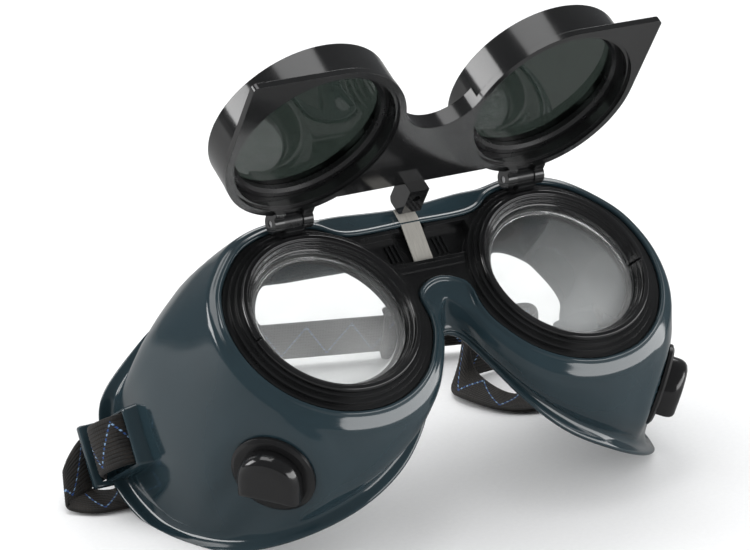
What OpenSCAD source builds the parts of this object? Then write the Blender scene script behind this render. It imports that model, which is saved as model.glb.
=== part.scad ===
// Flip-up gas-welding goggles with round lenses, resting on their lower rim with the filters open.
// Sides are named as one looks at the front of the goggles: left is -X, right is +X.
// Parts are drawn in the worn frame (X to the right, Y towards the face, Z up, collar faces in
// the plane y = 0) and as_rested() leans the whole object back on to the bench.

/* [Lenses] */
// Diameter of the clear lenses and of the filters
lens_d = 50; // [48:1:50]
// Distance between the two lens centres
lens_pitch = 80; // [78:1:82]
// Thickness of each clear lens
lens_t = 2.4; // [1.5:0.1:2.6]

/* [Flip-up front] */
// Angle of the filter frame away from the lens plane, as drawn
open_angle = 96.5; // [80:0.5:105]
// Depth of a filter barrel
barrel_h = 12.4; // [12:0.1:16]
// Height of the hinge line above the lens centres
hinge_z = 31; // [31:0.1:32]
// Distance of the hinge line in front of the collar faces
hinge_out = 3; // [3:0.1:3.6]
// Diameter of the hinge pins
pin_d = 2; // [1.6:0.1:2.2]

/* [Soft body] */
// Wall thickness of the soft body
wall_t = 2.2; // [1.8:0.1:2.4]
// How far the rear lip turns outwards
flange_w = 4.5; // [3:0.5:5]
// Diameter of a vent flange
vent_d = 25; // [22:1:26]

/* [Strap] */
// Width of the elastic strap
strap_w = 15; // [13:0.5:15]
// Thickness of the elastic strap
strap_t = 1.5; // [1.2:0.1:1.6]

/* [Rest] */
// How far the goggles lean back on the bench
lean = 52.2; // [50:0.1:54]
// Height of the lens centres above the bench
lift = 65.6; // [65.2:0.1:65.8]

/* [Hidden] */
$fn = 96;
eps = 0.01;
gap = 0.1;                    // clearance between pieces that only touch
run = 0.05;                   // radial clearance of the turning hinge
LEFT = -1;
RIGHT = 1;

lens_r = lens_d / 2;
lens_x = lens_pitch / 2;
collar_r = lens_r + 3;        // outermost raised collar round a clear lens
ring_r = lens_r + 1.8;        // outer edge of the retaining ring
sight_r = lens_r - 2.15;      // clear aperture
open_r = lens_r + 6.5;        // opening in the soft body round one lens
face_r = lens_r + 11;         // shoulder where the face turns into the side wall
open_top = 25;                // straight upper edge of the opening between the lenses
open_low = 6.5;               // lower edge of the opening, above the nose
groove = 2.5;                 // depth of the groove that grips the carrier
lip_y = 1.65;                 // crest of the soft lip round the carrier
flange_y = 3.1;               // front of the carrier's flange, held in the groove
flange_t = 1.8;               // thickness of the carrier's flange
bridge_y = 5.4;               // floor of the recess between the lenses

barrel_r = lens_r + 3.3;
barrel_bore = lens_r + 0.3;
flip_s = hinge_z - 0.5;       // barrel centre, measured from the hinge line
plate_h = 0.5;                // inner face of the flip plate above the hinge line
plate_t = 2;
edge_s = 6;                   // straight hinge-side edge of the flip plate
ear_r = 3;
ear_gap = 3.1;                // half width of the space between the ears
ear_out = 6.4;                // half width over the ears
web_s = 2.9;                  // the knuckle turns inside this radius
cam_flat = 3.6;
cam_r = 4.3;
lug_half = 3.3;               // half width of the central cam lug

lug_pos = [82.3, 62, 7];      // middle of a strap lug on the temple wall
lug_tilt = 20;                // the straps leave the goggles rising by this angle

// ---------- small helpers ----------

// The origin is under the middle of the whole object's box
middle = [-3.825, 53.979];
module on_bench() { translate([-middle[0], -middle[1], 0]) children(); }
module as_rested() { on_bench() translate([0, 0, lift]) rotate([-lean, 0, 0]) children(); }

// Turns a profile of [radius, y] points about the axis of one lens
module lens_turn(side, profile) {
    translate([side * lens_x, 0, 0]) rotate([-90, 0, 0]) rotate_extrude() polygon(profile);
}

// Flip-frame coordinates: hinge line at the origin, plate towards -Y, barrels towards +Z
module as_flipped(angle = open_angle) {
    translate([0, -hinge_out, hinge_z]) rotate([90 - angle, 0, 0]) children();
}

module flip_turn(side, profile) {
    translate([side * lens_x, -flip_s, 0]) rotate_extrude() polygon(profile);
}

// A ring between two radii and two heights, as a profile
function band(r1, r2, y1, y2) = [[r1, y1], [r2, y1], [r2, y2], [r1, y2]];

function unit(v) = v / norm(v);
function curve(a, b, c, d, t) =
    0.5 * (2 * b + (c - a) * t + (2 * a - 5 * b + 4 * c - d) * t * t
           + (3 * b - a - 3 * c + d) * t * t * t);

// Closed smooth curve through the points, with `steps` points for each span
function closed_curve(p, steps) =
    let (n = len(p))
    [for (i = [0 : n - 1], k = [0 : steps - 1])
        curve(p[(i + n - 1) % n], p[i], p[(i + 1) % n], p[(i + 2) % n], k / steps)];

// Open smooth curve that passes through the second to the last but one point
function open_curve(p, steps) =
    [for (i = [1 : len(p) - 3], k = [0 : steps - 1])
        curve(p[i - 1], p[i], p[i + 1], p[i + 2], k / steps),
     p[len(p) - 2]];

// ---------- soft body ----------

// Half of the rear rim, from the middle of the brow round the temple to the nose:
// angle of the matching point on the face circle, then the rim's x, y and z
rim = [[108, 42, 41, 39.4], [90, 53, 43, 38.5], [72, 63, 47, 36.4],
       [55, 71, 52, 33], [32, 83, 64, 25],
       [15, 85, 72, 15], [-2, 85, 77, 2], [-20, 84, 71, -16], [-38, 81, 61, -30],
       [-56, 73, 49, -42], [-74, 60, 38, -48],
       [-95, 44, 28, -48.5], [-115, 29, 22.5, -42.5], [-135, 18, 18, -32.5],
       [-155, 10, 14.5, -20], [-168, 6.6, 13.2, -14]];

function on_circle(r, a) = [lens_x + r * cos(a), r * sin(a)];

// One station: opening edge, shoulder and rim, as [x, z] pairs and their y values
brow = [[[0, open_top], [0, 33], [0, 34, 37]],
        [on_circle(open_r, 127), [lens_x - 20, 34.4], [28, 36.5, 39]]];
cheek = [for (r = rim) [on_circle(open_r, r[0]), on_circle(face_r, r[0]), [r[1], r[2], r[3]]]];
nose = [[[8.4, 2.6], [2.6, -3.2], [3.6, 12.4, -9.6]],
        [[0, open_low], [0, -0.8], [0, 12, -8]]];
half = concat(brow, cheek, nose);
last = len(half) - 1;
function flipped(v) = len(v) == 2 ? [-v[0], v[1]] : [-v[0], v[1], v[2]];
stations = concat(half, [for (i = [last - 1 : -1 : 1]) [for (v = half[i]) flipped(v)]]);

spans = 3;
open_edge = closed_curve([for (s = stations) s[0]], spans);
shoulder = closed_curve([for (s = stations) s[1]], spans);
rim_edge = closed_curve([for (s = stations) s[2]], spans);
around = len(shoulder);

// Outward direction of a closed clockwise curve of [x, z] points
function outward(p, i) =
    let (n = len(p), t = p[(i + 1) % n] - p[(i + n - 1) % n]) unit([-t[1], t[0]]);
rim_flat = [for (p = rim_edge) [p[0], p[2]]];

function at(xz, y) = [xz[0], y, xz[1]];

// Closed cross-section of the soft body at one place round the outline
function section(i) =
    let (o = open_edge[i], s = shoulder[i], r = rim_flat[i], y = rim_edge[i][1],
         u = unit(s - o), n = outward(shoulder, i), m = outward(rim_flat, i),
         w = r - flange_w * max(0.25, min(1, (y - 8) / 14)) * m, far = y - 6,
         bulge = 4 * min(1, far / 30),
         mid = s + (w - s) * 0.36 + bulge * n, mid_y = 6 + far * 0.33,
         low = s + (w - s) * 0.72 + 0.8 * bulge * m, low_y = 6 + far * 0.7)
    [at(o, flange_y - gap), at(o, lip_y + 0.5), at(o + 0.5 * u, lip_y), at(o + 1.6 * u, lip_y),
     at(o + 2.3 * u, lip_y + 0.7), at(o + 3.6 * u, lip_y + 1.7), at(s, 6),
     at(s + 0.3 * (mid - s) + 0.8 * n, 6 + 0.3 * (mid_y - 6)),
     at(mid, mid_y), at(low, low_y), at(w + 0.2 * m, y - min(2.4, 0.2 * far)), at(w + 1.2 * m, y - 1),
     at(r, y - 0.7), at(r, y + 0.7), at(w + 0.4 * m, y + 0.7), at(w - wall_t * m, y - 0.6),
     at(low - wall_t * m, low_y), at(mid - wall_t * n, mid_y + 0.5),
     at(s - 0.8 * wall_t * n, 6 + min(3.5, 1.4 + 0.08 * far)), at(o + 0.8 * u, 7.2), at(o, 6.6),
     at(o, flange_y + flange_t + gap), at(o + groove * u, flange_y + flange_t + gap),
     at(o + groove * u, flange_y - gap)];

across = len(section(0));

module skin() {
    faces = [for (i = [0 : around - 1], j = [0 : across - 1])
        let (a = i * across + j, b = i * across + (j + 1) % across,
             c = ((i + 1) % around) * across + (j + 1) % across,
             d = ((i + 1) % around) * across + j)
        each [[a, c, d], [a, b, c]]];
    polyhedron(points = [for (i = [0 : around - 1]) each section(i)], faces = faces,
               convexity = 10);
}

// Vents: place on the wall and outward direction, for the right side
upper_vent = [[45.6, 27.1, 34.9], [0.16, -0.04, 1]];
lower_vent = [[66, 23, -33], [0.75, -0.13, -0.64]];
pad_h = 0.3;                  // flat seat that a vent sits on

// Puts +Z along a vent's direction, with +Y pointing to the front of the goggles
module at_vent(vent, side) {
    n = unit(vent[1]);
    turn = atan2(n[0], n[2]);
    translate([side * vent[0][0], vent[0][1], vent[0][2]]) mirror([side < 0 ? 1 : 0, 0, 0])
        rotate([0, turn, 0]) rotate([asin(-n[1]), 0, 0]) rotate([0, 0, 180]) children();
}

// Strap lug coordinates: X outwards, Y along the strap towards the rear, Z across it
module at_lug(side) {
    mirror([side < 0 ? 1 : 0, 0, 0]) translate(lug_pos) rotate([lug_tilt, 0, 0]) children();
}

lug_l = 15;                   // from the middle of a lug to the back of its slotted plate
lug_front = 12;               // from the middle of a lug to its front
lug_h = strap_w / 2 + 2.1;    // half height of a lug
lug_out = 4.2;                // height of the lug's side walls above the temple
plate_out = 8.4;              // height of the slotted plate above the temple
slot_w = strap_w + 0.8;

module strap_lug() {
    hull() {
        translate([-4, -lug_front, -lug_h]) cube([1, lug_front + lug_l, 2 * lug_h]);
        translate([lug_out - 1, 1.8 - lug_front, 1 - lug_h])
            cube([1, lug_front + lug_l - 1.8, 2 * lug_h - 2]);
    }
    translate([-2, lug_l - 2.6, -lug_h]) cube([plate_out + 2, 2.6, 2 * lug_h]);
}

// The well that the strap's end lies in, and the slots in the plate
module lug_cuts() {
    translate([0.8, 3 - lug_front, -slot_w / 2]) cube([lug_out, lug_front + lug_l - 5.6, slot_w]);
    translate([plate_out - 5.4, lug_l - 8.6, -slot_w / 2]) cube([2.8, 12, slot_w]);
}

module vent_pads() {
    for (side = [LEFT, RIGHT], vent = [upper_vent, lower_vent])
        at_vent(vent, side) translate([0, 0, -2.6]) cylinder(r = vent_d / 2 + 1.6, h = 2.6 + pad_h);
}

module vent_holes() {
    for (side = [LEFT, RIGHT], vent = [upper_vent, lower_vent])
        at_vent(vent, side) {
            translate([0, 0, -8]) cylinder(r = 7, h = 16);
            translate([0, 0, -8]) cylinder(r = 8.6, h = 5.3);
            translate([0, 0, pad_h]) cylinder(r = vent_d / 2 + 0.3, h = 9);
        }
}

module frame_body() {
    color("darkslategray") difference() {
        as_rested() difference() {
            union() {
                skin();
                vent_pads();
                for (side = [LEFT, RIGHT]) at_lug(side) strap_lug();
            }
            vent_holes();
            for (side = [LEFT, RIGHT]) at_lug(side) lug_cuts();
            // relief in the lip for the spring and the cam lug
            translate([-4.3, 0, 23]) cube([8.6, flange_y - gap, 12]);
        }
        // the rim is flat where the goggles stand
        translate([-150, -150, -20]) cube([300, 300, 20]);
    }
}

// ---------- lens carrier and clear lenses ----------

// Outline of the carrier in front view: the opening in the soft body, grown by `more`
module carrier_outline(more) {
    polygon([for (i = [0 : around - 1])
        open_edge[i] + more * unit(shoulder[i] - open_edge[i])]);
}

// Extrudes a front view outline from y1 to y2
module slab(y1, y2) {
    translate([0, y2, 0]) rotate([90, 0, 0]) linear_extrude(y2 - y1) children();
}

seat_y = 3 + lens_t + 1.2;    // ledge that the gasket sits on

module hinge_post(side) {
    difference() {
        union() {
            translate([side * lens_x - 3, -hinge_out, hinge_z]) rotate([0, 90, 0])
                cylinder(r = 2.6, h = 6);
            translate([side * lens_x - 3, -hinge_out - 0.3, ring_r + 0.3])
                cube([6, hinge_out + 2.7, hinge_z - ring_r - 0.3]);
        }
        translate([side * lens_x - 4, -hinge_out, hinge_z]) rotate([0, 90, 0])
            cylinder(d = pin_d + 2 * run, h = 8);
    }
}

module lens_carrier() {
    color("black") as_rested() {
        difference() {
            union() {
                slab(flange_y, flange_y + flange_t) carrier_outline(groove - 0.4);
                slab(2.4, flange_y) carrier_outline(-0.3);
                slab(flange_y + flange_t, bridge_y + 2) carrier_outline(-0.4);
                for (side = [LEFT, RIGHT]) {
                    lens_turn(side, band(lens_r - 4, collar_r + 1.6, 1.2, 3));
                    lens_turn(side, band(lens_r - 4, collar_r, 0, seat_y + 2));
                }
            }
            // lens pockets and the aperture behind them
            for (side = [LEFT, RIGHT]) {
                lens_turn(side, band(0, lens_r + 0.3, -1, seat_y));
                lens_turn(side, band(0, sight_r + 0.4, seat_y - 1, seat_y + 3));
            }
            // recess between the lenses, and its clearance for the leaf spring
            difference() {
                translate([-18, 0, 12.6]) cube([36, bridge_y, open_top - 1.6 - 12.6]);
                for (side = [LEFT, RIGHT]) lens_turn(side, band(0, collar_r + 1.6, 0, 8));
            }
            translate([-4.3, 0, 12.6]) cube([8.6, 3.4, 16]);
            // socket for the foot of the leaf spring
            translate([-3.5, bridge_y - 0.8, 9]) cube([7, 0.8, 5]);
        }
        // ribs on the floor of the recess
        for (side = [LEFT, RIGHT], k = [0 : 2])
            translate([side * (6.5 + 1.6 * k) - 0.3, bridge_y - 0.6, 15]) cube([0.6, 1, 6]);
        // ledge in front of the spring's foot
        slab(2, 3) translate([-11.4, 9.2]) square([22.8, 2]);
        for (side = [LEFT, RIGHT]) hinge_post(side);
    }
}

module lens_gasket(side) {
    color("dimgray") as_rested()
        lens_turn(side, band(sight_r + 0.4, lens_r + 0.1, seat_y - 1.1, seat_y - 0.1));
}

// The clear lens has a thick moulded rim round a thinner pane
module clear_lens(side) {
    color("lightgray", 0.4) as_rested()
        lens_turn(side, [[0, 3.7], [sight_r - 1, 3.7], [sight_r - 0.5, 3], [lens_r, 3],
                         [lens_r, 3 + lens_t], [0, 3 + lens_t]]);
}

// A split ring, pressed in front of the lens
module retaining_ring(side) {
    color("black") as_rested() difference() {
        lens_turn(side, [[sight_r, 1], [lens_r - 1, -0.4], [lens_r - 0.4, -1.3], [ring_r, -1.3],
                         [ring_r, -gap], [lens_r + 0.1, -gap], [lens_r + 0.1, 2.9],
                         [sight_r, 2.9]]);
        translate([side * lens_x, 0, 0]) rotate([0, -side * 81, 0])
            translate([-0.4, -3, -ring_r - 2]) cube([0.8, 8, 7]);
    }
}

// Flat spring that holds the filters open or closed; drawn unbent against the cam
module leaf_spring() {
    path = [[4.75, 9.4], [4.75, 13], [1.5, 26.6], [1.5, 30.6]];
    t = 0.45;
    side_view = concat(path, [for (i = [3 : -1 : 0]) path[i] + [t, 0]]);
    color("silver") as_rested() translate([-3.2, 0, 0]) rotate([90, 0, 90])
        linear_extrude(6.4) polygon(side_view);
}

// ---------- flip-up filter frame ----------

arch_top = 29;                // nose arch, measured from the hinge line
arch_r = let (c = flip_s - arch_top) (pow(lens_x, 2) + c * c - pow(barrel_r, 2))
         / (2 * (barrel_r + c));
arch_s = arch_top + arch_r;

module plate_outline() {
    for (side = [LEFT, RIGHT]) translate([side * lens_x, -flip_s]) {
        circle(r = barrel_r);
        // lift tab: the square corner below and outside the round
        mirror([side < 0 ? 1 : 0, 0]) hull() {
            translate([0, -barrel_r]) square([1, barrel_r]);
            translate([barrel_r - 1.5, -barrel_r + 1.5]) circle(r = 1.5, $fn = 32);
            square([barrel_r, 1]);
        }
    }
    difference() {
        translate([-lens_x + 14.6, -arch_s + 3]) square([lens_pitch - 29.2, arch_s - 3 - edge_s]);
        translate([0, -arch_s]) circle(r = arch_r);
        translate([-lens_x, -arch_s]) square([lens_pitch, 3.5]);
    }
}

module arch_rim() {
    intersection() {
        translate([0, -arch_s, plate_h]) difference() {
            cylinder(r = arch_r + 1.8, h = 5.5);
            translate([0, 0, -1]) cylinder(r = arch_r, h = 8);
        }
        translate([-12.4, -arch_s + 3.6, 0]) cube([24.8, arch_s, 8]);
    }
}

module hinge_ears(side) {
    for (a = [-ear_out, ear_gap]) translate([side * lens_x + a, 0, 0]) {
        rotate([0, 90, 0]) cylinder(r = ear_r, h = ear_out - ear_gap);
        translate([0, -7, -1]) cube([ear_out - ear_gap, 7, plate_h + plate_t + 1]);
    }
    // web that joins the ears outside the knuckle
    translate([side * lens_x - ear_gap - 0.2, -7, plate_h])
        cube([2 * ear_gap + 0.4, 7 - web_s, plate_t]);
}

module cam_lug() {
    w = 2 * lug_half;
    difference() {
        union() {
            intersection() {
                translate([-lug_half, 0, 0]) rotate([0, 90, 0]) cylinder(r = cam_r, h = w);
                translate([-lug_half, -cam_flat, -cam_flat])
                    cube([w, 2 * cam_flat, 2 * cam_flat]);
            }
            translate([-lug_half, -edge_s - 1, -cam_flat])
                cube([w, edge_s + 1, cam_flat + plate_h + plate_t]);
        }
        // moulding pocket
        translate([0, -3.4, -cam_flat - 1]) cylinder(r = 1.3, h = 4);
    }
}

module flip_frame() {
    lip_r = sight_r + 0.6;
    color("black") as_rested() as_flipped() difference() {
        union() {
            translate([0, 0, plate_h]) linear_extrude(plate_t) plate_outline();
            for (side = [LEFT, RIGHT]) {
                flip_turn(side, band(barrel_bore - 1, barrel_r - 0.2, plate_h, barrel_h));
                hinge_ears(side);
            }
            arch_rim();
            cam_lug();
            // fold line along the hinge-side edge
            translate([-lens_x + 17, -edge_s - 5.4, plate_h + plate_t - eps])
                cube([lens_pitch - 34, 0.7, 0.5]);
        }
        for (side = [LEFT, RIGHT]) {
            flip_turn(side, [[0, -1], [barrel_bore + 1, -1], [barrel_bore + 1, plate_h + 0.9],
                             [barrel_bore, plate_h + 0.9], [barrel_bore, barrel_h - 1.6],
                             [lip_r, barrel_h - 1.6], [lip_r, barrel_h + 1], [0, barrel_h + 1]]);
            // room for the hinge knuckle, and the pin's holes
            translate([side * lens_x - ear_gap, -web_s, -5]) cube([2 * ear_gap, 10, 9]);
            translate([side * lens_x - ear_out - 1, 0, 0]) rotate([0, 90, 0])
                cylinder(d = pin_d, h = 2 * ear_out + 2);
        }
    }
}

module hinge_pin(side) {
    color("silver") as_rested() as_flipped()
        translate([side * lens_x - ear_out + 0.2, 0, 0]) rotate([0, 90, 0])
            cylinder(d = pin_d, h = 2 * ear_out - 0.4);
}

filter_h = barrel_h - 1.7;    // front face of a filter
module filter_lens(side) {
    color("darkgreen", 0.8) as_rested() as_flipped()
        flip_turn(side, band(0, lens_r, filter_h - 3, filter_h));
}

// Ring that holds a filter from behind, with a notch to lift it by
module filter_ring(side) {
    color("black") as_rested() as_flipped() difference() {
        flip_turn(side, [[sight_r, filter_h - 3.1], [lens_r + 0.2, filter_h - 3.1],
                         [lens_r + 0.2, filter_h - 5.6], [sight_r + 1, filter_h - 5.6],
                         [sight_r, filter_h - 4.8]]);
        translate([side * lens_x - 1.5, -flip_s - lens_r - 1, filter_h - 7])
            cube([3, 2.6, 2.8]);
    }
}

// ---------- vents ----------

vent_back = pad_h + gap;      // back of a vent's flange
flange_top = vent_back + 1.7;
cap_r = 8.7;
cap_turn = -24;               // the hoods point forwards and a little outwards

module vent_body(vent, side) {
    color("black") as_rested() at_vent(vent, side) rotate_extrude()
        polygon([[4.5, flange_top], [vent_d / 2 - 1, flange_top], [vent_d / 2, flange_top - 0.7],
                 [vent_d / 2, vent_back], [6.9, vent_back], [6.9, -2.8], [8.2, -3.2],
                 [7.4, -4.6], [4.5, -4.6]]);
}

// Round in front and straight behind, with the straight side open
module hood_outline(r, back) {
    circle(r = r);
    translate([-r, -back]) square([2 * r, back]);
}

module vent_cap(vent, side, hood_h) {
    color("black") as_rested() at_vent(vent, side) rotate([0, 0, cap_turn])
        translate([0, 0, flange_top + gap]) difference() {
            hull() {
                linear_extrude(hood_h - 1.8) hood_outline(cap_r, 5.5);
                linear_extrude(hood_h) hood_outline(cap_r - 1.6, 4.5);
            }
            translate([0, 0, -1]) linear_extrude(hood_h - 0.4) hood_outline(cap_r - 1.6, 8);
        }
}

// ---------- strap ----------

// Points of the strap's middle line on the bench and the direction across the band.
// It leaves the left lug, curls on to the bench and under the left cup's edge, runs straight
// behind the goggles, doubles back behind the nose and rises to the right lug.
function lug_point(side, out, along, across) =
    let (c = cos(lug_tilt), s = sin(lug_tilt),
         y = lug_pos[1] + along * c - across * s, z = lug_pos[2] + along * s + across * c)
    [side * (lug_pos[0] + out), y * cos(lean) + z * sin(lean),
     lift - y * sin(lean) + z * cos(lean)];
lug_across = [0, -sin(lug_tilt) * cos(lean) + cos(lug_tilt) * sin(lean),
              sin(lug_tilt) * sin(lean) + cos(lug_tilt) * cos(lean)];

slot_out = plate_out - 4;     // height of the slot's middle above the temple
function strap_end(side) = [
    [lug_point(side, 1.9, -3, 0), lug_across],
    [lug_point(side, 1.75, -5, 0), lug_across],
    [lug_point(side, 3.2, -7.6, 0), lug_across],
    [lug_point(side, 6.6, -7.2, 0), lug_across],
    [lug_point(side, 9.4, -2, 0), lug_across],
    [lug_point(side, 9.2, 4.5, 0), lug_across],
    [lug_point(side, 5.3, 11, 0), lug_across],
    [lug_point(side, slot_out, lug_l - 1.2, 0), lug_across],
    [lug_point(side, slot_out + 0.2, lug_l + 4.5, 0), lug_across]];
function mirrored_end() = let (e = strap_end(RIGHT)) [for (i = [len(e) - 1 : -1 : 0]) e[i]];

// straight stretch of the strap that the slider rides on
ride_from = [-19.4, 130.4, 9.5];
ride_to = [83.2, 96.6, 9.5];
ride_across = [-0.11, -0.33, 0.94];
function ride(t) = [ride_from + t * (ride_to - ride_from), ride_across];

left_curl = [
    [[-91.5, 58.8, 8.4], [0.15, 0.7, 0.7]],
    [[-96.8, 56.2, 5.6], [0.35, 0.82, 0.45]],
    [[-95.8, 54.2, 3.4], [0.38, 0.88, 0.28]],
    [[-91, 50.5, 1.9], [0.37, 0.92, 0.1]],
    [[-85.5, 49.5, 1.2], [0.25, 0.97, 0]],
    [[-80, 50.3, 1.2], [0.05, 1, 0]],
    [[-73.5, 56, 3], [-0.75, 0.6, 0.12]],
    [[-66.5, 67, 7.2], [-0.6, 0.2, 0.75]],
    [[-60, 80, 8.3], [-0.2, 0.1, 0.97]],
    [[-52, 97, 8.2], [-0.1, 0, 1]],
    [[-44, 115, 8.2], [-0.05, -0.15, 1]],
    [[-34, 126, 8.9], [-0.1, -0.3, 0.95]]];
right_curl = [
    [[91.5, 91.5, 8.9], [0, 0, 1]],
    [[88.5, 84, 8.4], [0, 0, 1]],
    [[79, 82, 8.3], [0, 0, 1]],
    [[66, 81, 8.3], [0, 0, 1]],
    [[58, 79.5, 8.3], [0.1, 0.1, 0.98]],
    [[53, 73.9, 7], [0.6, 0.25, 0.75]],
    [[52.1, 67, 4], [0.75, 0.6, 0.25]],
    [[56, 55.5, 1.9], [0.55, 0.82, 0.05]],
    [[63.5, 51, 1.2], [0.3, 0.95, 0]],
    [[73, 53.5, 3.3], [-0.1, 0.95, 0.25]],
    [[82, 60.5, 6.8], [0, 0.75, 0.66]]];
strap_path = concat(strap_end(LEFT), left_curl, [for (t = [0 : 0.2 : 1]) ride(t)], right_curl,
                    mirrored_end());
strap_steps = 3;
strap_mid = open_curve([for (p = strap_path) p[0]], strap_steps);
strap_dir = open_curve([for (p = strap_path) unit(p[1])], strap_steps);

function strap_corners(i) =
    let (n = len(strap_mid), t = unit(strap_mid[min(i + 1, n - 1)] - strap_mid[max(i - 1, 0)]),
         w = unit(strap_dir[i]), f = unit(cross(t, w)),
         a = w * strap_w / 2, b = f * strap_t / 2)
    [strap_mid[i] - a - b, strap_mid[i] + a - b, strap_mid[i] + a + b, strap_mid[i] - a + b];

module strap() {
    n = len(strap_mid);
    sides = [for (i = [0 : n - 2], j = [0 : 3])
        let (a = 4 * i + j, b = a + 4, c = 4 * (i + 1) + (j + 1) % 4, d = c - 4)
        each [[a, b, c], [a, c, d]]];
    ends = [[0, 1, 2, 3], [for (j = [3 : -1 : 0]) 4 * (n - 1) + j]];
    color("dimgray") on_bench()
        polyhedron(points = [for (i = [0 : n - 1]) each strap_corners(i)],
                   faces = concat(sides, ends), convexity = 10);
}

// ---------- strap slider ----------

slider_at = 0.7;              // share of the straight stretch
slide_l = 7.5;                // half length
slide_clear = 0.2;            // clearance between the slider and the strap

// Puts +X along the strap, +Y across it and +Z out of its outer face
module at_ride(t) {
    p = ride_from + t * (ride_to - ride_from);
    x = unit(ride_to - ride_from);
    y = unit(ride_across - (ride_across * x) * x);
    z = cross(x, y);
    multmatrix([[x[0], y[0], z[0], p[0]], [x[1], y[1], z[1], p[1]], [x[2], y[2], z[2], p[2]]])
        children();
}

// Three-bar slider: two end bars over the strap, the middle bar under it
module strap_slider() {
    inside = strap_w / 2 + slide_clear;
    face = strap_t / 2 + slide_clear;
    color("black") on_bench() at_ride(slider_at) difference() {
        linear_extrude(2 * (face + 1.5), center = true) offset(r = 1.4, $fn = 32)
            square([2 * slide_l - 2.8, 2 * inside], center = true);
        // room for the strap and the windows on each side of the middle bar
        cube([40, 2 * inside, 2 * face], center = true);
        for (side = [LEFT, RIGHT]) {
            translate([side * (slide_l - 3.7) - 1.9, -inside, 0]) cube([3.8, 2 * inside, 9]);
            translate([side * (slide_l - 2) - 3.7, -inside, -9]) cube([20, 2 * inside, 9]);
        }
        translate([-3, -inside, 0]) cube([6, 2 * inside, 9]);
    }
}

frame_body();
lens_carrier();
lens_gasket(LEFT);  // lens_gasket_left
lens_gasket(RIGHT);  // lens_gasket_right
clear_lens(LEFT);  // clear_lens_left
clear_lens(RIGHT);  // clear_lens_right
retaining_ring(LEFT);  // retaining_ring_left
retaining_ring(RIGHT);  // retaining_ring_right
leaf_spring();
flip_frame();
hinge_pin(LEFT);  // hinge_pin_left
hinge_pin(RIGHT);  // hinge_pin_right
filter_lens(LEFT);  // filter_lens_left
filter_lens(RIGHT);  // filter_lens_right
filter_ring(LEFT);  // filter_ring_left
filter_ring(RIGHT);  // filter_ring_right
vent_body(upper_vent, LEFT);  // vent_body_upper_left
vent_body(upper_vent, RIGHT);  // vent_body_upper_right
vent_body(lower_vent, LEFT);  // vent_body_lower_left
vent_body(lower_vent, RIGHT);  // vent_body_lower_right
vent_cap(upper_vent, LEFT, 4);  // vent_cap_upper_left
vent_cap(upper_vent, RIGHT, 4);  // vent_cap_upper_right
vent_cap(lower_vent, LEFT, 5.2);  // vent_cap_lower_left
vent_cap(lower_vent, RIGHT, 5.2);  // vent_cap_lower_right
strap();
strap_slider();
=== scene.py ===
"""Looks for the flip-up welding goggles: soft body, strap, lenses, materials, light and camera.

Lengths in this script are millimetres in the worn frame (X to the right, Y towards the face,
Z up, collar faces in the plane y = 0) or in the bench frame, until a helper turns them into
metres in the row frame. LEFT is -X, RIGHT is +X.
"""
import math

import bpy
import bmesh
import numpy as np
from mathutils import Matrix, Vector


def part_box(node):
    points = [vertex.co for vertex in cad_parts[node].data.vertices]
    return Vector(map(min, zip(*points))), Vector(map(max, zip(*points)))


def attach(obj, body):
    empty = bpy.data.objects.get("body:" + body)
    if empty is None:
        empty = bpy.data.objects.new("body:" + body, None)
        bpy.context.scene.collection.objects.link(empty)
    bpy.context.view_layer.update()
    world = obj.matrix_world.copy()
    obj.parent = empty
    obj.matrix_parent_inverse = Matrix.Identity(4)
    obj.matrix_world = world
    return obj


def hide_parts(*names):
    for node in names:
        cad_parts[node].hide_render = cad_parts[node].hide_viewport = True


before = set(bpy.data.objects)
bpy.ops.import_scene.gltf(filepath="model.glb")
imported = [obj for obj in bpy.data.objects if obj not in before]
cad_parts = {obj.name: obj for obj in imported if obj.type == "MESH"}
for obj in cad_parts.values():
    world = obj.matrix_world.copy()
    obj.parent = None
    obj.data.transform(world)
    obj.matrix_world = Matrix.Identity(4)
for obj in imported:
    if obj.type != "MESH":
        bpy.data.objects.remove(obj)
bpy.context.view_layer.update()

MM = 0.001
LEFT, RIGHT = -1, 1
SIDES = {"left": LEFT, "right": RIGHT}

# ---------------------------------------------------------------- frame

LEAN = math.radians(52.2)        # the lenses look up by this as the goggles lie on the bench
COS, SIN = math.cos(LEAN), math.sin(LEAN)
LENS_MID_Y = 4.2                 # middle of a clear lens behind the collar faces


def box_middle(node_name):
    low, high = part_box(node_name)
    return (low + high) / 2


lens_left, lens_right = box_middle("clear_lens_left"), box_middle("clear_lens_right")
LENS_X = (lens_right.x - lens_left.x) / 2 / MM
ORIGIN = (lens_left + lens_right) / 2 - Vector((0, LENS_MID_Y * COS, -LENS_MID_Y * SIN)) * MM
LIFT = ORIGIN.z / MM
BENCH = Vector((ORIGIN.x, ORIGIN.y, 0))

# worn millimetres to row metres, and bench millimetres to row metres
WORN = Matrix.Translation(ORIGIN) @ Matrix.Rotation(-LEAN, 4, "X") @ Matrix.Scale(MM, 4)
ON_BENCH = Matrix.Translation(BENCH) @ Matrix.Scale(MM, 4)


# ---------------------------------------------------------------- mesh helpers

NEAR_AXIS = 0.001                # radius of a turned profile's points on its axis


def finish_piece(obj, material, slot, *nodes):
    """Gives a new piece its material and its body, and hides the CAD nodes that it stands for; the
    slot is not used.
    """
    obj.data.materials.clear()
    obj.data.materials.append(material)
    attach(obj, "goggles")
    if nodes:
        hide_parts(*nodes)


def mesh_object(name, points, faces, matrix, smooth_angle=35):
    """A mesh object with its points in the row frame; faces are lists of point numbers."""
    mesh = bpy.data.meshes.new(name)
    mesh.from_pydata([matrix @ Vector(p) for p in points], [], faces)
    obj = bpy.data.objects.new(name, mesh)
    bpy.context.scene.collection.objects.link(obj)
    outward(obj)
    smooth(obj, smooth_angle)
    return obj


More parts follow.
